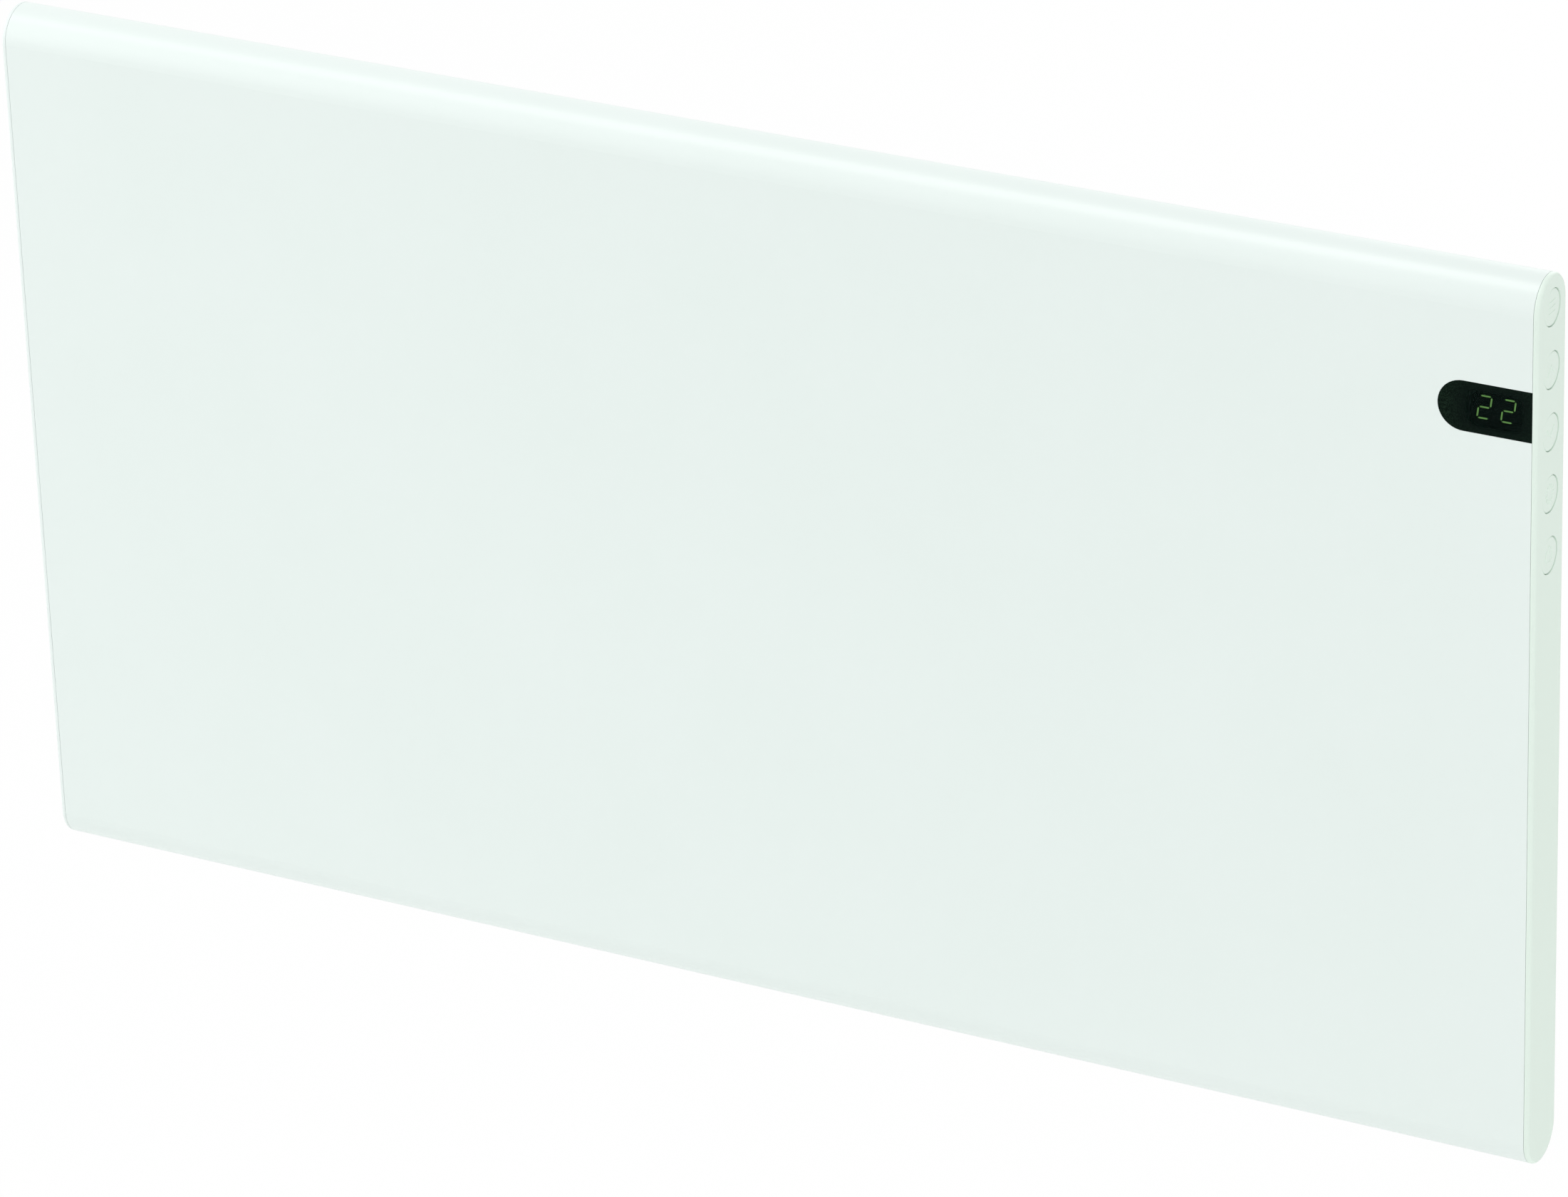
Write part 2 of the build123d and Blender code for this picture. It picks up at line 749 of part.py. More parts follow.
# ---------------------------------------------------------------- cable gland
def cable_gland():
    """Hexagon flange and domed nose outside the back sheet, threaded neck inside it."""
    tip = -gland_flange_thickness - gland_nose
    neck = gland_inner + sheet
    dome = gland_flange - gland_taper
    outline = [(gland_bore, tip), (gland_thread - gland_dome, tip), (gland_thread, tip + gland_dome),
               (dome, -gland_flange_thickness), (dome, 0), (gland_thread, 0),
               (gland_thread, neck), (gland_bore, neck)]
    place = facing_front(gland_x, panel_y[1], gland_z)
    hexagon = RegularPolygon(gland_flange, 6) - Circle(gland_thread)
    flange = place * Pos(0, 0, -gland_flange_thickness) * extrude(hexagon, gland_flange_thickness)
    return turned(outline, place) + flange


def gland_lock_nut():
    """A hexagon nut on the neck, tight against the inside of the back sheet."""
    face = RegularPolygon(gland_flange, 6) - Circle(gland_thread + screw_clearance)
    return facing_front(gland_x, panel_y[0], gland_z) * extrude(face, gland_nut)


# ---------------------------------------------------------------- screws
def panel_screws():
    return [screw(facing_front(px, back, pz)) for px, pz in panel_screw_places()]


def end_cap_screws():
    return [screw(facing_front(side * cap_screw_x, panel_y[1], z))
            for side in (-1, 1) for z in cap_screw_zs]


# ---------------------------------------------------------------- wall bracket
def hook(level):
    """One upturned hook in the plane of the rail's web, as a (Y, Z) outline."""
    root = rail_face + hook_root
    throat = rail_face - back_gap - sheet - (hook_throat - sheet) / 2
    nose = throat - hook_thickness
    slope = hook_thickness / 2
    return [(root, level), (throat, level), (throat, level + hook_rise - slope / 2),
            (throat - slope / 2, level + hook_rise), (nose + slope, level + hook_rise),
            (nose, level + hook_rise - slope), (nose, level - hook_neck / 2),
            (nose + slope, level - hook_neck), (root, level - hook_neck)]


def bracket_rail(side):
    """A rail folded to a foot on the wall, a deep web with the hooks, and a front flange."""
    web_x = rail_x - rail_sheet / 2
    wall = -rail_sheet / 2
    z = (-rail_half, rail_half)
    foot = [(rail_x - rail_foot, wall), (web_x, wall), (web_x, rail_face)]
    rail = upright_sheet(foot, rail_sheet, rail_bend - rail_sheet / 2, z)
    nose_y = rail_face + rail_sheet / 2
    nose = [(web_x, nose_y + 2 * rail_bend), (web_x, nose_y), (rail_x + rail_nose, nose_y)]
    nose_z = (-nose_half, nose_half)
    web_end = (rail_x - 2 * rail_sheet, rail_x + rail_sheet)
    rail -= block(web_end, (rail_face - rail_sheet, rail_face + 2 * rail_bend), nose_z)
    rail += upright_sheet(nose, rail_sheet, rail_bend - rail_sheet / 2, nose_z)
    side_plane = Plane(origin=(rail_x - rail_sheet, 0, 0), x_dir=(0, 1, 0), z_dir=(1, 0, 0))
    for level in (hook_level, -hook_level):
        rail += extrude(side_plane * make_face(Polyline(*hook(level), close=True)), rail_sheet)
    opening = SlotOverall(rail_window_height, rail_window, rotation=90)
    for level in (rail_window_level, -rail_window_level):
        rail -= extrude(side_plane * Pos(rail_face / 2, level) * opening, rail_sheet)
    rivet_hole = rivet_radius + screw_clearance
    for radius, distance in ((wall_hole_radius, wall_hole_level), (rivet_hole, bar_level)):
        for level in (distance, -distance):
            place = along_y(wall_hole_x / 2, -1.5 * rail_sheet, level)
            rail -= disc(radius, 2 * rail_sheet, place)
    return rail if side > 0 else mirror(rail, Plane.YZ)


def rivet_places():
    """One where each bar crosses each rail, in line with the wall screws."""
    return [(side * wall_hole_x / 2, level) for side in (-1, 1) for level in (bar_level, -bar_level)]


def bracket_bar(level):
    """A shallow channel across the rails' feet, its lips turned away from the wall."""
    reach = rail_x - rail_sheet - rail_bend
    face_y = -rail_sheet - bar_sheet / 2
    half = bar_height / 2 - bar_sheet / 2
    points = [(face_y - bar_lip, -half), (face_y, -half), (face_y, half), (face_y - bar_lip, half)]
    section = trace(FilletPolyline(*points, radius=bar_sheet), bar_sheet)
    plane = Plane(origin=(-reach, 0, level), x_dir=(0, 1, 0), z_dir=(1, 0, 0))
    bar = extrude(plane * section, 2 * reach)
    for x, z in rivet_places():
        if z == level:
            bar -= disc(rivet_radius + screw_clearance, 4 * bar_sheet, along_y(x, -4 * bar_sheet, z))
    return bar


def bracket_rivets():
    """Closed on the bar's side; the other end is flush with the back of the foot."""
    grip = rail_sheet + bar_sheet
    return [turned([(0, -rivet_head_height), (rivet_head, -rivet_head_height), (rivet_head, 0),
                    (rivet_radius, 0), (rivet_radius, grip), (0, grip)],
                   along_y(x, -grip, z)) for x, z in rivet_places()]


# ---------------------------------------------------------------- one file for each piece
button_names = ["mode_button", "up_button", "down_button", "timer_button", "power_button"]

nodes = {
    "front_panel": front_panel(),
    "rear_panel": rear_panel(),
    "left_end_cap": left_end_cap(),
    "right_end_cap": right_end_cap(),
    "display_window": display_window(),
    "digit_display": digit_display(),
    "lit_segments": segments(True),
    "dark_segments": segments(False),
    "display_board": display_board(),
    "button_board": button_board(),
    "tact_switches": tact_switches(),
    "power_board": power_board(),
    "board_standoffs": board_standoffs(),
    "board_screws": board_screws(),
    "relay": relay(),
    "transformer": transformer(),
    "capacitor": capacitor(),
    "terminal_block": terminal_block(),
    "heating_element": heating_element(),
    "element_plugs": element_plugs(),
    "element_pins": element_pins(),
    "element_holder_left": element_holder(-1),
    "element_holder_right": element_holder(1),
    "heat_shield": heat_shield(),
    "thermal_cutout": thermal_cutout(),
    "compartment_wall": compartment_wall(),
    "lead_grommet": lead_grommet(),
    "room_sensor": room_sensor(),
    "cable_gland": cable_gland(),
    "gland_lock_nut": gland_lock_nut(),
    "panel_screws": panel_screws(),
    "end_cap_screws": end_cap_screws(),
    "bracket_rail_left": bracket_rail(-1),
    "bracket_rail_right": bracket_rail(1),
    "bracket_bar_top": bracket_bar(bar_level),
    "bracket_bar_bottom": bracket_bar(-bar_level),
    "bracket_rivets": bracket_rivets(),
}
for name, z in zip(button_names, button_zs):
    nodes[name] = button(z)

for name, piece in nodes.items():
    shape = Compound(children=piece) if isinstance(piece, list) else piece
    export_step(shape, f"parts/{name}.step")
    solids = shape.solids()
    print(name, len(solids), round(sum(solid.volume for solid in solids)))
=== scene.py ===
# %% [markdown]
# # A slim panel heater for a wall
# The real heater is a folded sheet of steel with a white powder coat, closed at both ends by
# moulded caps. The right cap carries five push buttons, and a smoked window beside it shows
# the set temperature. Every solid piece is loaded as it was built. This lesson gives each one
# the finish of its real material, adds the small relief that is easier to model as a mesh, and
# sets up the light and the camera.

# %% Load the heater
import math
import random

import bmesh
import bpy
from mathutils import Matrix, Quaternion, Vector


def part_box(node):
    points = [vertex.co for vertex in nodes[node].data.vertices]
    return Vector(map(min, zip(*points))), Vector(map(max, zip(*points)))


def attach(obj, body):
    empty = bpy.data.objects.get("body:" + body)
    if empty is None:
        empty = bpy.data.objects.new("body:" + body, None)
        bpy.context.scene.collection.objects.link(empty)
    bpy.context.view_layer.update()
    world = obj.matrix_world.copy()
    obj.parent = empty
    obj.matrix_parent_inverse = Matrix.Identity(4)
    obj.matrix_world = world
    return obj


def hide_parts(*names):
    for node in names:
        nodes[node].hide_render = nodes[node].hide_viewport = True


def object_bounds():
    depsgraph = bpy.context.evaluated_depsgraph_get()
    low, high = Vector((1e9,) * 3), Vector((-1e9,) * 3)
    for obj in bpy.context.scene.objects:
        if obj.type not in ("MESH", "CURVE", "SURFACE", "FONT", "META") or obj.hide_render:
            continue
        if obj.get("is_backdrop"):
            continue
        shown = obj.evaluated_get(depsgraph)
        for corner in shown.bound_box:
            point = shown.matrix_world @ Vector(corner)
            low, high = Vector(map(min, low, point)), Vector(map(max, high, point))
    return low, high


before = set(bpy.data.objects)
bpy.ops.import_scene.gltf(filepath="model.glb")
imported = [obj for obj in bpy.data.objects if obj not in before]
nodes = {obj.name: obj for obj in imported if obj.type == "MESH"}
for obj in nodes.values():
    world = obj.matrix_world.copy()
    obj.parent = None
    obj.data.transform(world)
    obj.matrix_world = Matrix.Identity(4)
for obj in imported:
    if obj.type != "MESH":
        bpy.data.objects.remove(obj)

MM = 0.001                      # one millimetre, in the scene's metres
low_corner, high_corner = (Vector(corner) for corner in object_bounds())
print("pieces loaded:", len(nodes))
print("box in mm:", [round(v / MM) for v in high_corner - low_corner])

# %% [markdown]
# ## The camera
# The photograph looks at the heater from the right and from above, with a long lens. A camera
# is easiest to reason about as a point it aims at, a direction, a distance and a small roll.
# The lens follows from how many pixels wide the sensor would be at the photograph's scale.

# %% Camera
PHOTO_WIDTH = 2201
AIM = Vector((15.6, -84, -3.3)) * MM
AZIMUTH = math.radians(28.685)
ELEVATION = math.radians(25.994)
ROLL = math.radians(-1.912)
DISTANCE = 3106 * MM
FOCAL_PIXELS = 11226
SENSOR_WIDTH = 36.0

towards_camera = Vector((math.sin(AZIMUTH) * math.cos(ELEVATION),
                         -math.cos(AZIMUTH) * math.cos(ELEVATION),
                         math.sin(ELEVATION)))
camera = bpy.data.objects.new("camera", bpy.data.cameras.new("camera"))
bpy.context.scene.collection.objects.link(camera)
camera.data.sensor_width = SENSOR_WIDTH
camera.data.lens = FOCAL_PIXELS / PHOTO_WIDTH * SENSOR_WIDTH
camera.location = AIM + DISTANCE * towards_camera
camera.rotation_mode = "QUATERNION"
upright = (-towards_camera).to_track_quat("-Z", "Y")
camera.rotation_quaternion = upright @ Quaternion((0, 0, 1), ROLL)
bpy.context.scene.camera = camera
print("lens in mm:", round(camera.data.lens, 1))

# %% [markdown]
# ## Nodes in a few words
# A material is a small graph. One function that adds a node, sets its own properties and fills
# or links its inputs keeps each graph readable. Colours are picked on screen as sRGB hex values,
# but a shader works with linear light, so another function converts them. A Mix node has a set
# of sockets for each kind of data, so the ones for colours are named once by their places.

# %% Helpers for materials
MIX_FACTOR, MIX_A, MIX_B, MIX_RESULT = 0, 6, 7, 2


def linear(hex_colour):
    """An sRGB hex colour as linear RGBA."""
    channels = [int(hex_colour[i:i + 2], 16) / 255 for i in (1, 3, 5)]
    return [c / 12.92 if c <= 0.04045 else ((c + 0.055) / 1.055) ** 2.4 for c in channels] + [1.0]


def add(material, kind, inputs=None, **settings):
    """Adds a node; an input is a value, or a socket of another node to link from."""
    new = material.node_tree.nodes.new(kind)
    for name, value in settings.items():
        setattr(new, name, value)
    for name, value in (inputs or {}).items():
        if isinstance(value, bpy.types.NodeSocket):
            material.node_tree.links.new(value, new.inputs[name])
        else:
            new.inputs[name].default_value = value
    return new


def new_material(name):
    """An empty graph with the object's own coordinates."""
    material = bpy.data.materials.new(name)
    material.use_nodes = True
    material.node_tree.nodes.clear()
    place = add(material, "ShaderNodeTexCoord").outputs["Object"]
    return material, place


def surface(material, inputs):
    """The one shader that every solid finish here ends in."""
    shader = add(material, "ShaderNodeBsdfPrincipled", inputs)
    add(material, "ShaderNodeOutputMaterial", {"Surface": shader.outputs["BSDF"]})
    return material


def per_metre(size_mm):
    """The scale at which a pattern's features are this many millimetres across."""
    return 1 / (size_mm * MM)


print("scale of a 1 mm pattern:", per_metre(1))

# %% [markdown]
# ## White powder coat on steel
# Powder melts into a satin skin that is never quite level: from close by it has a shallow
# orange peel with waves of a millimetre or so. That softens each highlight, most of all along
# the rounded top. The white leans to green, as in the photograph.

# %% Powder coat
COAT_WHITE = "#EAF3F0"
COAT_WHITE_DEEP = "#E7F1ED"
COAT_CLOUD = 60                 # millimetres across a patch of either white
ORANGE_PEEL = 1.3               # wave length in millimetres


def powder_coat():
    material, place = new_material("powder_coated_steel")
    cloud = add(material, "ShaderNodeTexNoise",
                {"Vector": place, "Scale": per_metre(COAT_CLOUD), "Detail": 2.0})
    tint = add(material, "ShaderNodeMix",
               {MIX_FACTOR: cloud.outputs["Fac"], MIX_A: linear(COAT_WHITE),
                MIX_B: linear(COAT_WHITE_DEEP)}, data_type="RGBA")
    peel = add(material, "ShaderNodeTexNoise",
               {"Vector": place, "Scale": per_metre(ORANGE_PEEL), "Detail": 3.0})
    relief = add(material, "ShaderNodeBump",
                 {"Height": peel.outputs["Fac"], "Strength": 0.12, "Distance": 0.05 * MM})
    return surface(material, {"Base Color": tint.outputs[MIX_RESULT], "Roughness": 0.31,
                              "IOR": 1.5, "Normal": relief.outputs["Normal"]})


print("orange peel in mm:", ORANGE_PEEL)

# %% [markdown]
# ## White moulded ABS
# The end caps and the buttons are injection moulded. The mould's spark-eroded surface gives
# them a fine grain and a flatter shine than the coat. The real grain is too fine to show, so it
# is drawn a little coarser, a third of a millimetre across. The plastic is a little greener and
# darker than the steel beside it. The left cap is drawn a little less green than the right one.

# %% Moulded plastic
ABS_WHITE = "#E5F3E9"
ABS_WHITE_LEFT = "#E8F1EE"
GRAIN = 0.35                    # millimetres
ABS_GLOSS = (0.42, 0.55)        # lowest and highest roughness over the grain


def moulded_abs(name, colour):
    material, place = new_material(name)
    grain = add(material, "ShaderNodeTexNoise",
                {"Vector": place, "Scale": per_metre(GRAIN), "Detail": 2.0})
    gloss = add(material, "ShaderNodeMapRange",
                {"Value": grain.outputs["Fac"], "To Min": ABS_GLOSS[0], "To Max": ABS_GLOSS[1]})
    relief = add(material, "ShaderNodeBump",
                 {"Height": grain.outputs["Fac"], "Strength": 0.10, "Distance": 0.03 * MM})
    return surface(material, {"Base Color": linear(colour), "Roughness": gloss.outputs["Result"],
                              "IOR": 1.53, "Normal": relief.outputs["Normal"]})


print("grain in mm:", GRAIN)

# %% [markdown]
# ## Smoked acrylic over green digits
# The window is dark tinted acrylic with a speckled print on its back. The print leaves a clear
# field in front of the digits, which looks a little darker. The length of a vector of squares is
# a distance whose contours are rounded rectangles, so the field ends softly all round. In the
# field, alpha lets part of what lies behind through, at the front face and again at the back
# face. That renders cleanly, unlike a refracting block. A thin tint looks fainter than a full
# one, so its colour is raised where alpha is low. The two faces together cover about as much as
# alpha to the power EVEN_OUT, and dividing by that keeps the darkness even.

# %% Window
ACRYLIC_DARK = "#06110B"
ACRYLIC_SPECK = "#1A2A20"
ACRYLIC_CLEAR = "#091210"
SPECK = 0.36                    # millimetres
SPECK_EDGES = (0.42, 0.63)      # the noise levels between which a speck fades in
CLEAR_ALPHA = 0.27              # how much each face covers in the clear field
EVEN_OUT = 0.68                 # the tint is divided by alpha to this power
# These four are in the distance described above, which is 1 at the display's edge.
FIELD_START, FIELD_END = 1.0, 1.6           # where the print starts, and where it is opaque
SPECKS_START, SPECKS_FULL = 0.6, 4.0        # where its specks start, and where they are full
display_low, display_high = (Vector(corner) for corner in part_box("digit_display"))
display_middle = (display_low + display_high) / 2
display_half = (display_high - display_low) / 2


def smoked_acrylic():
    material, place = new_material("smoked_acrylic")
    speck = add(material, "ShaderNodeTexNoise",
                {"Vector": place, "Scale": per_metre(SPECK), "Detail": 1.0})
    spots = add(material, "ShaderNodeMapRange",
                {"Value": speck.outputs["Fac"], "From Min": SPECK_EDGES[0],
                 "From Max": SPECK_EDGES[1]})
    over = [1 / display_half.x, 0, 1 / display_half.z]
    centred = add(material, "ShaderNodeMapping", {
        "Vector": place, "Scale": over,
        "Location": (-display_middle.x * over[0], 0, -display_middle.z * over[2])})
    squares = add(material, "ShaderNodeVectorMath",
                  {0: centred.outputs["Vector"], 1: centred.outputs["Vector"]},
                  operation="MULTIPLY")
    away = add(material, "ShaderNodeVectorMath", {0: squares.outputs["Vector"]},
               operation="LENGTH")
    printed = add(material, "ShaderNodeMapRange",
                  {"Value": away.outputs["Value"], "From Min": FIELD_START,
                   "From Max": FIELD_END}, interpolation_type="SMOOTHSTEP")
    speckled = add(material, "ShaderNodeMapRange",
                   {"Value": away.outputs["Value"], "From Min": SPECKS_START,
                    "From Max": SPECKS_FULL})
    dots = add(material, "ShaderNodeMix",
               {MIX_FACTOR: spots.outputs["Result"], MIX_A: linear(ACRYLIC_DARK),
                MIX_B: linear(ACRYLIC_SPECK)}, data_type="RGBA")
    tint = add(material, "ShaderNodeMix",
               {MIX_FACTOR: speckled.outputs["Result"], MIX_A: linear(ACRYLIC_CLEAR),
                MIX_B: dots.outputs[MIX_RESULT]}, data_type="RGBA")
    opaque = add(material, "ShaderNodeMapRange",
                 {"Value": printed.outputs["Result"], "To Min": CLEAR_ALPHA, "To Max": 1.0})
    raised = add(material, "ShaderNodeMath", {0: opaque.outputs["Result"], 1: -EVEN_OUT},
                 operation="POWER")
    even = add(material, "ShaderNodeVectorMath",
               {0: tint.outputs[MIX_RESULT], "Scale": raised.outputs["Value"]},
               operation="SCALE")
    return surface(material, {"Base Color": even.outputs["Vector"], "Roughness": 0.32,
                              "IOR": 1.49, "Specular IOR Level": 0.02,
                              "Alpha": opaque.outputs["Result"]})


print("display field in mm:", [round(2 * v / MM, 1) for v in display_half])

# %% [markdown]
# ## Digits of light
# Each lit segment is a bar of green resin over a diode. It glows almost evenly. The mask around
# the bars is matt black without any shine, because anything shiny behind the window would show
# as a grey haze, and the unlit bars are nearly as dark. The board that carries the display is
# black too, for its edge is seen past the mask from one side.

# %% Display segments
LED_GREEN = "#84C262"
LED_RESIN = "#456736"
LED_GLOW = (0.62, 0.72)         # weakest and strongest light along a bar
LED_CLOUD = 1.5                 # millimetres between stronger and weaker light
LED_OFF = "#070B07"
MASK_SHINE = 0.0


def lit_segment():
    """A green diode under tinted resin."""
    material, place = new_material("lit_green_segment")
    uneven = add(material, "ShaderNodeTexNoise", {"Vector": place, "Scale": per_metre(LED_CLOUD)})
    glow = add(material, "ShaderNodeMapRange",
               {"Value": uneven.outputs["Fac"], "To Min": LED_GLOW[0], "To Max": LED_GLOW[1]})
    return surface(material, {"Base Color": linear(LED_RESIN), "Roughness": 0.5,
                              "Emission Color": linear(LED_GREEN),
                              "Emission Strength": glow.outputs["Result"]})


print("lit green, linear:", [round(v, 3) for v in linear(LED_GREEN)])

# %% [markdown]
# ## Plastics, rubber and boards
# The small parts inside show only through the air slots, but an export shows them all. They
# share one recipe: two close tones that wander over a grain, and the same grain as relief. The
# real grains are too fine to show, so they are drawn coarser, at 0.4 to 1 millimetre.

# %% Plain plastics
GRAIN_DEPTH = 0.05              # millimetres


def plain_plastic(name, colour, colour_deep, roughness, grain_mm, shine=0.5):
    """A moulded plastic or rubber: two close tones and a shallow grain."""
    material, place = new_material(name)
    grain = add(material, "ShaderNodeTexNoise",
                {"Vector": place, "Scale": per_metre(grain_mm), "Detail": 2.0})
    tint = add(material, "ShaderNodeMix",
               {MIX_FACTOR: grain.outputs["Fac"], MIX_A: linear(colour),
                MIX_B: linear(colour_deep)}, data_type="RGBA")
    relief = add(material, "ShaderNodeBump",
                 {"Height": grain.outputs["Fac"], "Strength": 0.15,
                  "Distance": GRAIN_DEPTH * MM})
    return surface(material, {"Base Color": tint.outputs[MIX_RESULT], "Roughness": roughness,
                              "Specular IOR Level": shine, "Normal": relief.outputs["Normal"]})


print("depth of the grain in mm:", GRAIN_DEPTH)

# %% [markdown]
# ## Bare metals
# Zinc plate on the small steel parts is bright and slightly blue. The wall bracket is cut from
# galvanised sheet, whose zinc freezes in crystals: each flake of the spangle reflects a little
# differently. The element is an aluminium extrusion, which keeps fine lines from the die along
# its length.

# %% Metals
SPANGLE = 5.0                   # millimetres across a zinc crystal
ZINC_DARK, ZINC_LIGHT = "#C0C7CA", "#CFD5D6"
ZINC_GLOSS = (0.38, 0.48)       # lowest and highest roughness of a crystal


def plated_metal(name, colour, colour_deep, roughness_low, roughness_high, scale_mm, stretch):
    """A metal whose gloss and tone wander over a pattern, drawn out along each axis by stretch."""
    material, place = new_material(name)
    drawn = add(material, "ShaderNodeMapping", {"Vector": place, "Scale": stretch})
    pattern = add(material, "ShaderNodeTexNoise",
                  {"Vector": drawn.outputs["Vector"], "Scale": per_metre(scale_mm),
                   "Detail": 3.0})
    tint = add(material, "ShaderNodeMix",
               {MIX_FACTOR: pattern.outputs["Fac"], MIX_A: linear(colour),
                MIX_B: linear(colour_deep)}, data_type="RGBA")
    gloss = add(material, "ShaderNodeMapRange",
                {"Value": pattern.outputs["Fac"], "To Min": roughness_low,
                 "To Max": roughness_high})
    return surface(material, {"Base Color": tint.outputs[MIX_RESULT], "Metallic": 1.0,
                              "Roughness": gloss.outputs["Result"]})


def galvanised_steel():
    """Zinc crystals, each with its own tone and gloss."""
    material, place = new_material("galvanised_steel")
    flake = add(material, "ShaderNodeTexVoronoi", {"Vector": place, "Scale": per_metre(SPANGLE)})
    tone = add(material, "ShaderNodeSeparateColor", {"Color": flake.outputs["Color"]})
    tint = add(material, "ShaderNodeMix",
               {MIX_FACTOR: tone.outputs["Red"], MIX_A: linear(ZINC_DARK),
                MIX_B: linear(ZINC_LIGHT)}, data_type="RGBA")
    gloss = add(material, "ShaderNodeMapRange",
                {"Value": tone.outputs["Green"], "To Min": ZINC_GLOSS[0],
                 "To Max": ZINC_GLOSS[1]})
    return surface(material, {"Base Color": tint.outputs[MIX_RESULT], "Metallic": 1.0,
                              "Roughness": gloss.outputs["Result"]})


print("spangle in mm:", SPANGLE)

# %% [markdown]
# ## Which piece gets which finish
# The loaded pieces keep their shape, so dressing them is a matter of filling their material
# slots. A table from finish to pieces shows at a glance that none is missed. After its name and
# two tones, a plastic has its roughness and grain, and its shine where that isn't the usual one.
# A metal has its lowest and highest roughness, the size of its pattern and how that is drawn
# out.

# %% Dress the loaded pieces
EVEN = (1, 1, 1)                # a pattern that isn't drawn out
finishes = {
    powder_coat():
        ["front_panel", "rear_panel"],
    moulded_abs("moulded_abs_left", ABS_WHITE_LEFT):
        ["left_end_cap"],
    moulded_abs("moulded_abs", ABS_WHITE):
        ["right_end_cap", "mode_button", "up_button", "down_button", "timer_button",
         "power_button"],
    smoked_acrylic():
        ["display_window"],
    lit_segment():
        ["lit_segments"],
    # The resin without its light is nearly as dark as the mask.
    plain_plastic("unlit_segment", LED_OFF, "#090D09", 0.5, 0.5, MASK_SHINE):
        ["dark_segments"],
    # A printed mask swallows the light.
    plain_plastic("matt_black_mask", "#050805", "#070A07", 0.6, 0.4, MASK_SHINE):
        ["digit_display"],
    # Dipped epoxy sets near black, with a soft shine.
    plain_plastic("black_epoxy", "#0B0D0B", "#121512", 0.45, 0.4):
        ["room_sensor"],
    # Pressed thermoset is a duller and warmer black.
    plain_plastic("black_thermoset", "#151515", "#1E1D1C", 0.55, 0.6):
        ["tact_switches", "thermal_cutout"],
    # Solder resist over woven glass is green and smooth, so it shines.
    plain_plastic("glass_epoxy_board", "#1B5E3A", "#134A2D", 0.35, 0.8):
        ["button_board", "power_board"],
    # The same board under a matt black resist.
    plain_plastic("glass_epoxy_board_black", "#0A0D0B", "#0E110F", 0.6, 0.8, MASK_SHINE):
        ["display_board"],
    # A moulded polyester case is an even blue with some gloss.
    plain_plastic("blue_polyester", "#23508F", "#1D4680", 0.35, 0.6):
        ["relay"],
    # A film shrunk round a can is dark and glossy.
    plain_plastic("sleeve_film", "#1E2430", "#161B26", 0.25, 1.0):
        ["capacitor"],
    # Moulded nylon is milky and half matt.
    plain_plastic("white_nylon", "#E6E7E2", "#DCDDD7", 0.5, 0.5):
        ["terminal_block", "cable_gland", "gland_lock_nut"],
    # Fired steatite is cream and matt, like unglazed china.
    plain_plastic("steatite", "#EFEBDD", "#E3DDCB", 0.75, 0.4):
        ["element_plugs"],
    # Moulded rubber has hardly any highlight.
    plain_plastic("black_rubber", "#161616", "#202020", 0.8, 0.5):
        ["lead_grommet"],
    # Stacked iron sheets under varnish are dark, with lines where the sheets meet.
    plated_metal("varnished_core", "#4A4B4E", "#5C5D60", 0.4, 0.6, 0.5, (1, 1, 12)):
        ["transformer"],
    # Zinc plate is bright and slightly blue.
    plated_metal("zinc_plated_steel", "#C9CED2", "#DADEDF", 0.28, 0.42, 3.0, EVEN):
        ["board_standoffs", "board_screws", "element_pins", "element_holder_left",
         "element_holder_right", "compartment_wall", "panel_screws", "end_cap_screws"],
    # Extruded aluminium has long fine lines from the die.
    plated_metal("extruded_aluminium", "#C4C6C8", "#D6D8DA", 0.3, 0.5, 1.0, (0.02, 1, 1)):
        ["heating_element"],
    # Rolled sheet is the brightest metal here, with faint streaks along the roll.
    plated_metal("rolled_aluminium", "#DCDEE0", "#E8EAEB", 0.16, 0.26, 1.5, (0.05, 1, 1)):
        ["heat_shield"],
    # Aluminium set by a tool is pale and satin.
    plated_metal("rivet_aluminium", "#CFD1D3", "#DADCDD", 0.3, 0.4, 1.0, EVEN):
        ["bracket_rivets"],
    galvanised_steel():
        ["bracket_rail_left", "bracket_rail_right", "bracket_bar_top", "bracket_bar_bottom"],
}
for material, names in finishes.items():
    for name in names:
        nodes[name].data.materials.clear()
        nodes[name].data.materials.append(material)
dressed = {name for names in finishes.values() for name in names}
print("dressed:", len(dressed), "left bare:", sorted(set(nodes) - dressed))
by_name = {material.name: material for material in finishes}

# %% [markdown]
# ## Turning a bmesh into a finished piece
# A bmesh is the workshop copy of a mesh. When it is done it becomes an object at the origin,
# smooth where faces meet at a shallow angle, dressed, and carried by the body it belongs to.

# %% Helper for pieces
SMOOTH_ANGLE = math.radians(35)
MERGE = 0.002 * MM              # vertices nearer than this are one


def finish_piece(shape, name, body, material):
    bmesh.ops.remove_doubles(shape, verts=shape.verts, dist=MERGE)
    bmesh.ops.recalc_face_normals(shape, faces=shape.faces)
    mesh = bpy.data.meshes.new(name)
    shape.to_mesh(mesh)
    shape.free()
    mesh.shade_smooth()
    mesh.set_sharp_from_angle(angle=SMOOTH_ANGLE)
    mesh.materials.append(material)
    piece = bpy.data.objects.new(name, mesh)
    bpy.context.scene.collection.objects.link(piece)
    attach(piece, body)
    print(name, "faces:", len(mesh.polygons))
    return piece


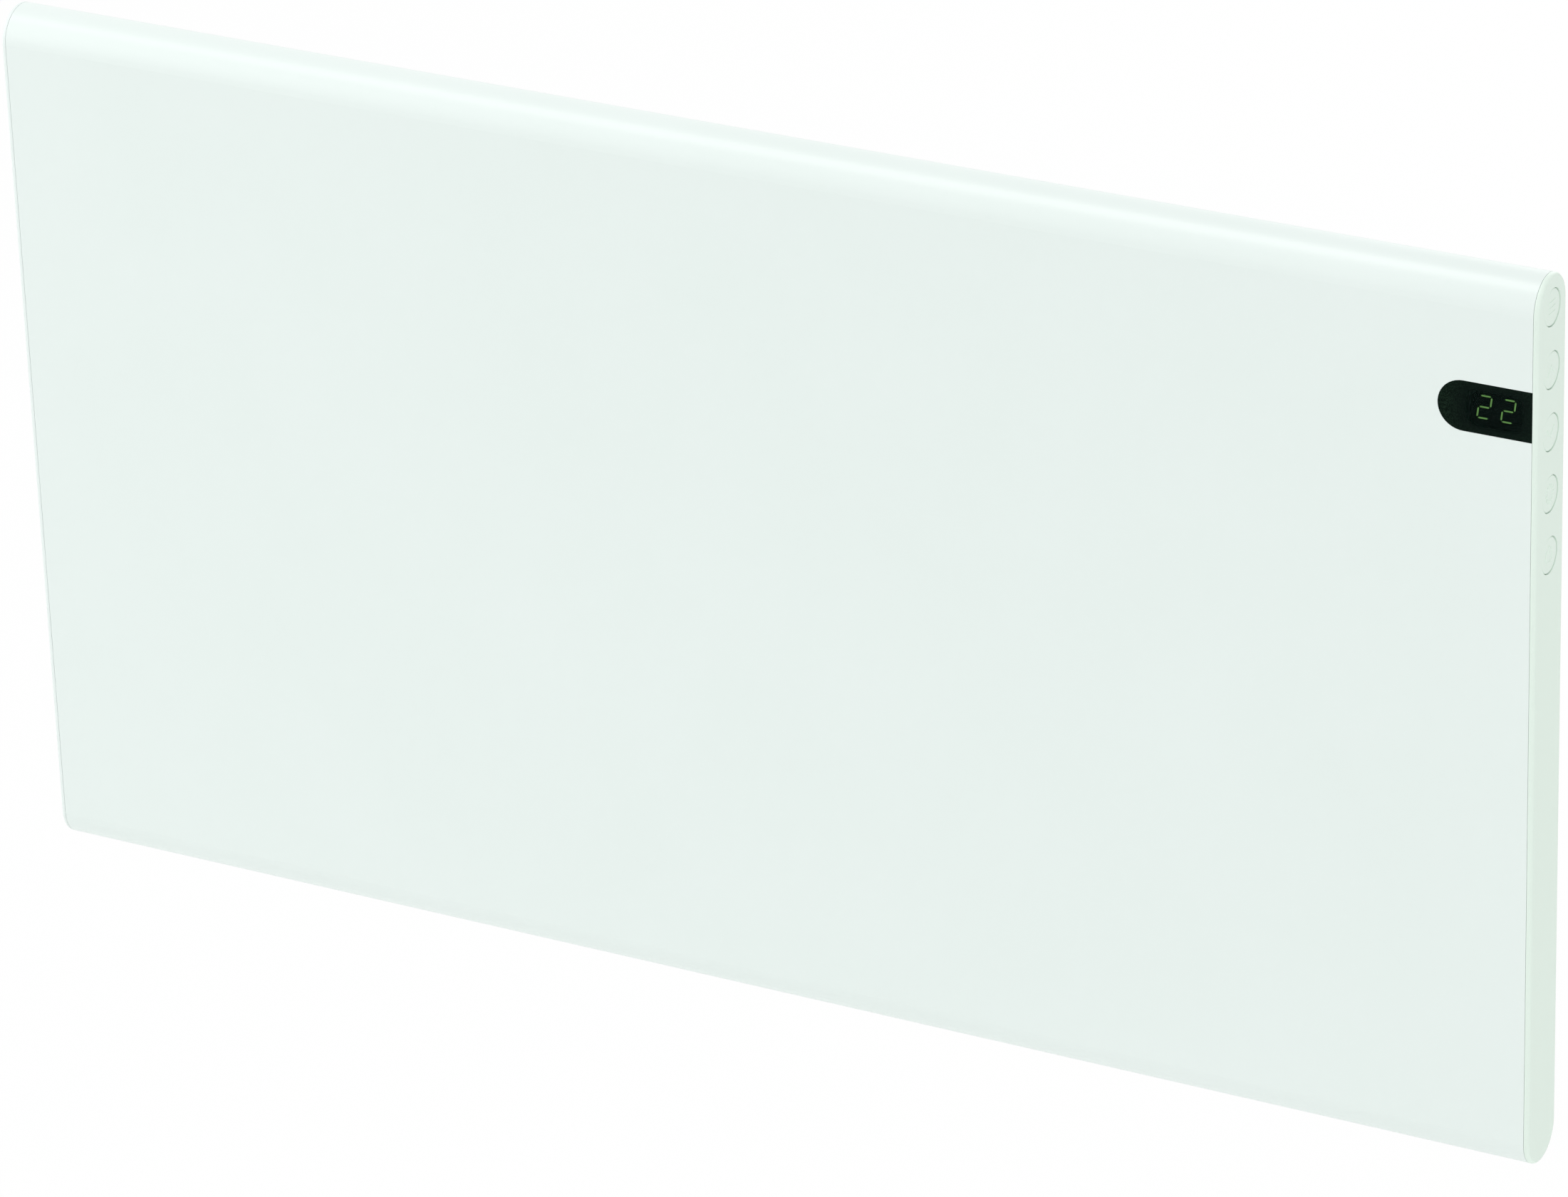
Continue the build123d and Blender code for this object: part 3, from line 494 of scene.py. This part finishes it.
# %% [markdown]
# ## Symbols on the buttons
# The real symbols are moulded with the buttons, a fifth of a millimetre proud and in the same
# white, so only their edges catch the light. Each one is drawn flat first: a bar is a scaled
# grid of one face, a chevron is one six-sided face, and an arc is an edge that is spun.

# %% Flat strokes
STROKE = 0.75 * MM
ARC_STEPS = 24
stand_up = Matrix.Rotation(math.radians(90), 4, "Y")     # turns a grid to face +X


def flat_bar(symbol, y, z, length, turn):
    """A bar about (y, z), turned from upright by this many degrees."""
    spot = Matrix.Translation((0, y * MM, z * MM))
    lay = spot @ Matrix.Rotation(math.radians(turn), 4, "X") @ stand_up
    stretch = Matrix.Diagonal((length * MM, STROKE, 1, 1))
    bmesh.ops.create_grid(symbol, x_segments=1, y_segments=1, size=0.5, matrix=lay @ stretch)


def flat_chevron(symbol, half_width, rise):
    """A V on its head for a positive rise, and upright for a negative one."""
    drop = STROKE / math.sqrt(2)
    line = [(-half_width, -rise / 2), (0, rise / 2), (half_width, -rise / 2)]
    outline = [(y * MM, z * MM + drop) for y, z in line]
    outline += [(y * MM, z * MM - drop) for y, z in reversed(line)]
    symbol.faces.new([symbol.verts.new((0, y, z)) for y, z in outline])


def flat_arc(symbol, radius, start, sweep):
    """Part of a ring, from start degrees off upright through sweep degrees."""
    across = [symbol.verts.new((0, 0, radius * MM + side * STROKE / 2)) for side in (-1, 1)]
    bmesh.ops.rotate(symbol, verts=across, cent=(0, 0, 0),
                     matrix=Matrix.Rotation(math.radians(start), 3, "X"))
    bmesh.ops.spin(symbol, geom=across + [symbol.edges.new(across)], cent=(0, 0, 0),
                   axis=(1, 0, 0), angle=math.radians(sweep), steps=ARC_STEPS, use_merge=False)


print("stroke in mm:", round(STROKE / MM, 2))

# %% [markdown]
# The photograph shows the marks only faintly, so they are the plain ones of such a heater: bars
# for the mode, chevrons for warmer and cooler, a dial for the timer and the common power sign.
# The flat faces are extruded together, and an inset with a small depth leaves a chamfer round
# each.

# %% Draw and raise them
RELIEF = 0.18 * MM
SUNK = 0.05 * MM                # the root of each stroke goes into the button's face
CHAMFER = 0.06 * MM
# The marks' own sizes are in millimetres and degrees.
BAR_LENGTH, BAR_PITCH = 5.4, 2.2
CHEVRON_HALF_WIDTH, CHEVRON_RISE = 3.0, 3.0
DIAL_TICKS, DIAL_RADIUS, TICK_LENGTH = 12, 3.2, 1.4
POWER_RADIUS, POWER_GAP = 3.0, 80
POWER_BAR_LENGTH, POWER_BAR_RISE = 3.0, 2.3


def draw(button, symbol):
    if button == "mode_button":
        for row in (-1, 0, 1):
            flat_bar(symbol, 0, row * BAR_PITCH, BAR_LENGTH, 90)
    elif button == "up_button":
        flat_chevron(symbol, CHEVRON_HALF_WIDTH, CHEVRON_RISE)
    elif button == "down_button":
        flat_chevron(symbol, CHEVRON_HALF_WIDTH, -CHEVRON_RISE)
    elif button == "timer_button":
        for tick in range(DIAL_TICKS):
            turn = 360 / DIAL_TICKS * tick
            angle = math.radians(turn)
            flat_bar(symbol, -DIAL_RADIUS * math.sin(angle), DIAL_RADIUS * math.cos(angle),
                     TICK_LENGTH, turn)
    else:
        flat_arc(symbol, POWER_RADIUS, POWER_GAP / 2, 360 - POWER_GAP)
        flat_bar(symbol, 0, POWER_BAR_RISE, POWER_BAR_LENGTH, 0)


for button in ("mode_button", "up_button", "down_button", "timer_button", "power_button"):
    low, high = (Vector(corner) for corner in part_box(button))
    symbol = bmesh.new()
    draw(button, symbol)
    raised = bmesh.ops.extrude_face_region(symbol, geom=symbol.faces[:])["geom"]
    tops = [item for item in raised if isinstance(item, bmesh.types.BMFace)]
    bmesh.ops.translate(symbol, verts=list({v for face in tops for v in face.verts}),
                        vec=(RELIEF + SUNK - CHAMFER, 0, 0))
    bmesh.ops.recalc_face_normals(symbol, faces=symbol.faces)
    bmesh.ops.inset_region(symbol, faces=tops, thickness=CHAMFER, depth=CHAMFER,
                           use_even_offset=True, use_boundary=True)
    bmesh.ops.translate(symbol, verts=symbol.verts,
                        vec=(high.x - SUNK, (low.y + high.y) / 2, (low.z + high.z) / 2))
    open_edges = sum(len(edge.link_faces) != 2 for edge in symbol.edges)
    print(button, "open edges:", open_edges)
    finish_piece(symbol, button.replace("button", "symbol"), button + "_body",
                 by_name["moulded_abs"])

# %% [markdown]
# ## Pan-head screws with a cross recess
# Ten self-tapping screws show on the back. The loaded ones are plain, and what makes a screw
# read as one is its domed head and its cross recess. The head and the shank are one profile,
# spun through a full turn. A tapered cross is cut out of the head with a Boolean modifier, which
# is simpler than building the recess face by face, and the result is copied to each place.

# %% Screw shape
# Every size here is in millimetres, and the dome's points are radius and height.
SCREW_HEAD = 3.3
SCREW_HEAD_HEIGHT = 2.0
SCREW_DOME = [(1.3, SCREW_HEAD_HEIGHT), (2.2, 1.85), (2.85, 1.5), (3.2, 0.95),
              (SCREW_HEAD, 0.45)]
SCREW_SHANK = 1.5
SCREW_LENGTH = 7.0
SCREW_POINT = 1.5
SCREW_STEPS = 32
CROSS_LENGTH = 3.5
CROSS_WIDTH = 0.85
CROSS_DEPTH = 1.3
CROSS_TAPER = (0.45, 1, 0.8)    # what is left of each side at the bottom of the recess


def as_object(shape, name):
    """A helper object that is taken away again after the cut."""
    mesh = bpy.data.meshes.new(name)
    shape.to_mesh(mesh)
    shape.free()
    holder = bpy.data.objects.new(name, mesh)
    bpy.context.scene.collection.objects.link(holder)
    return holder


def screw_blank():
    """Head towards +Y, seat at Y = 0, shank towards -Y."""
    profile = [(0, SCREW_HEAD_HEIGHT), *SCREW_DOME, (SCREW_HEAD, 0), (SCREW_SHANK, 0),
               (SCREW_SHANK, SCREW_POINT - SCREW_LENGTH), (0, -SCREW_LENGTH)]
    blank = bmesh.new()
    points = [blank.verts.new((r * MM, y * MM, 0)) for r, y in profile]
    edges = [blank.edges.new(pair) for pair in zip(points, points[1:])]
    bmesh.ops.spin(blank, geom=points + edges, cent=(0, 0, 0), axis=(0, 1, 0), angle=math.tau,
                   steps=SCREW_STEPS, use_merge=True)
    bmesh.ops.remove_doubles(blank, verts=blank.verts, dist=MERGE)
    bmesh.ops.recalc_face_normals(blank, faces=blank.faces)
    return as_object(blank, "screw_blank")


def cross_cutter():
    """Two crossed bars that narrow towards the bottom of the recess."""
    cutter = bmesh.new()
    for turn in (0, 90):
        bar = bmesh.ops.create_cube(cutter, size=1)["verts"]
        bmesh.ops.scale(cutter, verts=bar,
                        vec=(CROSS_LENGTH * MM, 2 * CROSS_DEPTH * MM, CROSS_WIDTH * MM))
        bottom = [v for v in bar if v.co.y < 0]
        bmesh.ops.scale(cutter, verts=bottom, vec=CROSS_TAPER)
        bmesh.ops.rotate(cutter, verts=bar, cent=(0, 0, 0),
                         matrix=Matrix.Rotation(math.radians(turn), 3, "Y"))
        bmesh.ops.translate(cutter, verts=bar, vec=(0, SCREW_HEAD_HEIGHT * MM, 0))
    return as_object(cutter, "cross_cutter")


blank_screw, cutter = screw_blank(), cross_cutter()
cut = blank_screw.modifiers.new("cross recess", "BOOLEAN")
cut.object, cut.operation, cut.solver, cut.use_self = cutter, "DIFFERENCE", "EXACT", True
evaluated = blank_screw.evaluated_get(bpy.context.evaluated_depsgraph_get())
screw_mesh = bpy.data.meshes.new_from_object(evaluated)
for helper in (blank_screw, cutter):
    bpy.data.objects.remove(helper)
print("screw faces:", len(screw_mesh.polygons))

# %% [markdown]
# Each loaded set of screws is one mesh. The seats are read from where its heads end, so the
# detailed screws sit exactly where the plain ones were. Real screws stop at any angle, so each
# gets its own turn, from a seeded series that comes out the same each time.

# %% Place the screws
random.seed(7)
HEAD_REACH = 0.6 * MM           # a vertex this near the outermost plane is on a head's top
SAME_HEAD = 3 * SCREW_HEAD * MM     # and two tops this near each other are of one head


def head_centres(node):
    """The middle of each screw head in a loaded mesh, from the vertices of the heads' tops."""
    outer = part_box(node)[1][1]
    tops = [v.co for v in nodes[node].data.vertices if v.co.y > outer - HEAD_REACH]
    centres = []
    for point in tops:
        near = next((group for group in centres if (group[0] - point).length < SAME_HEAD), None)
        if near is None:
            centres.append([point.copy()])
        else:
            near.append(point.copy())
    return [Vector([(min(p[i] for p in group) + max(p[i] for p in group)) / 2 for i in range(3)])
            for group in centres]


for node in ("panel_screws", "end_cap_screws"):
    screws = bmesh.new()
    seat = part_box(node)[1][1] - SCREW_HEAD_HEIGHT * MM
    for centre in head_centres(node):
        before = len(screws.verts)
        screws.from_mesh(screw_mesh)
        screws.verts.ensure_lookup_table()
        new = screws.verts[before:]
        bmesh.ops.rotate(screws, verts=new, cent=(0, 0, 0),
                         matrix=Matrix.Rotation(random.uniform(0, math.tau), 3, "Y"))
        bmesh.ops.translate(screws, verts=new, vec=(centre.x, seat, centre.z))
        print(node, [round(v / MM, 1) for v in centre])
    piece = finish_piece(screws, node.replace("screws", "pan_head_screws"), "heater",
                         by_name["zinc_plated_steel"])
    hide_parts(node)

# %% [markdown]
# ## The floor
# A floor lies well below the heater, because that hangs on a wall, and it keeps a soft shadow.
# For rays that come straight from the camera its paint is almost all white light at strength 1,
# so it meets the plain white behind it without a visible edge.

# %% Floor
FLOOR_DROP = 600 * MM
FLOOR_SIZE = 12.0
FLOOR_WHITE, FLOOR_WHITE_LIGHT = "#F4F5F4", "#F7F8F7"
FLOOR_CLOUD = 3.0               # patches of the two whites to a metre
FLOOR_GLOW = 0.94               # the rest of the camera's view is real paint with its shadow
floor_shape = bmesh.new()
bmesh.ops.create_grid(floor_shape, x_segments=1, y_segments=1, size=FLOOR_SIZE / 2)
bmesh.ops.translate(floor_shape, verts=floor_shape.verts, vec=(0, 0, low_corner.z - FLOOR_DROP))
floor_mesh = bpy.data.meshes.new("floor")
floor_shape.to_mesh(floor_mesh)
floor_shape.free()
floor = bpy.data.objects.new("floor", floor_mesh)
bpy.context.scene.collection.objects.link(floor)
floor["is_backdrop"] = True

floor_paint, floor_place = new_material("matt_floor_paint")
seen = add(floor_paint, "ShaderNodeLightPath")
dust = add(floor_paint, "ShaderNodeTexNoise", {"Vector": floor_place, "Scale": FLOOR_CLOUD})
tone = add(floor_paint, "ShaderNodeMix",
           {MIX_FACTOR: dust.outputs["Fac"], MIX_A: linear(FLOOR_WHITE),
            MIX_B: linear(FLOOR_WHITE_LIGHT)}, data_type="RGBA")
matt = add(floor_paint, "ShaderNodeBsdfDiffuse", {"Color": tone.outputs[MIX_RESULT]})
white = add(floor_paint, "ShaderNodeEmission", {"Color": linear("#FFFFFF"), "Strength": 1.0})
straight = add(floor_paint, "ShaderNodeMath",
               {0: seen.outputs["Is Camera Ray"], 1: FLOOR_GLOW}, operation="MULTIPLY")
blend = add(floor_paint, "ShaderNodeMixShader",
            {0: straight.outputs[0], 1: matt.outputs[0], 2: white.outputs[0]})
add(floor_paint, "ShaderNodeOutputMaterial", {"Surface": blend.outputs[0]})
floor_mesh.materials.append(floor_paint)
print("floor is", round(FLOOR_DROP / MM), "mm below the heater")

# %% [markdown]
# ## The background
# The picture behind the heater is plain white. The world is white at strength 1 for rays that
# come straight from the camera, or by a mirror or a clear piece. For all other light it is
# dimmer, so that it doesn't wash out the shapes.

# %% World
AMBIENT = 0.66
world = bpy.data.worlds.new("studio")
bpy.context.scene.world = world
world.use_nodes = True
world.node_tree.nodes.clear()
path = add(world, "ShaderNodeLightPath")
clear = add(world, "ShaderNodeMath",
            {0: path.outputs["Is Camera Ray"], 1: path.outputs["Is Transmission Ray"]},
            operation="MAXIMUM")
either = add(world, "ShaderNodeMath", {0: clear.outputs[0], 1: path.outputs["Is Glossy Ray"]},
             operation="MAXIMUM")
backdrop = add(world, "ShaderNodeBackground", {"Color": linear("#FFFFFF"), "Strength": 1.0})
studio_air = add(world, "ShaderNodeBackground",
                 {"Color": linear("#FFFFFF"), "Strength": AMBIENT})
world_mix = add(world, "ShaderNodeMixShader",
                {0: either.outputs[0], 1: studio_air.outputs[0], 2: backdrop.outputs[0]})
add(world, "ShaderNodeOutputWorld", {"Surface": world_mix.outputs[0]})
print("world strength:", AMBIENT)

# %% [markdown]
# ## Seven soft lamps
# The photograph has hardly any shade, so the heater stood among large pale panels. The narrow
# bright band along the rounded top says that the strongest are overhead and high on the left.
# One stands near on the left, so that the front gets a little darker towards its other end, and
# one further off lights the left cap. One in front on the right lights the caps' rims and the
# rounded underside, and one beside the right end keeps that end from going grey. The last stands
# behind, for the back. A lamp's strength is written as the level at which it alone would show a
# white surface that faces it, where 1 is white. For a panel that is far away against its size,
# that level is its power over the square of pi times its distance.

# %% Lamps
FAR, LARGE = 4.5, 2.2           # metres to a lamp, and along its side


def soft_panel(name, turn, height, strength, distance=FAR, size=LARGE):
    """A lamp turn degrees to the right of the heater's front, and height degrees up."""
    turn, height = math.radians(turn), math.radians(height)
    direction = Vector((math.sin(turn) * math.cos(height), -math.cos(turn) * math.cos(height),
                        math.sin(height)))
    lamp = bpy.data.lights.new(name, "AREA")
    lamp.size = size
    lamp.energy = strength * (math.pi * distance) ** 2
    holder = bpy.data.objects.new(name, lamp)
    holder.location = AIM + direction * distance
    holder.rotation_mode = "QUATERNION"
    holder.rotation_quaternion = (-direction).to_track_quat("-Z", "Y")
    bpy.context.scene.collection.objects.link(holder)
    print(name, "watts:", round(lamp.energy, 1))


soft_panel("overhead", -25, 82, 0.125)
soft_panel("high_left", -60, 65, 0.155)
soft_panel("near_left", -61, 20, 0.13, distance=1.6, size=1.2)
soft_panel("low_left", -85, 10, 0.12)
soft_panel("front_right", 30, 0, 0.135)
soft_panel("right_end", 75, 10, 0.09)
soft_panel("behind", 180, 20, 0.2)
bpy.context.scene.view_settings.view_transform = "Standard"
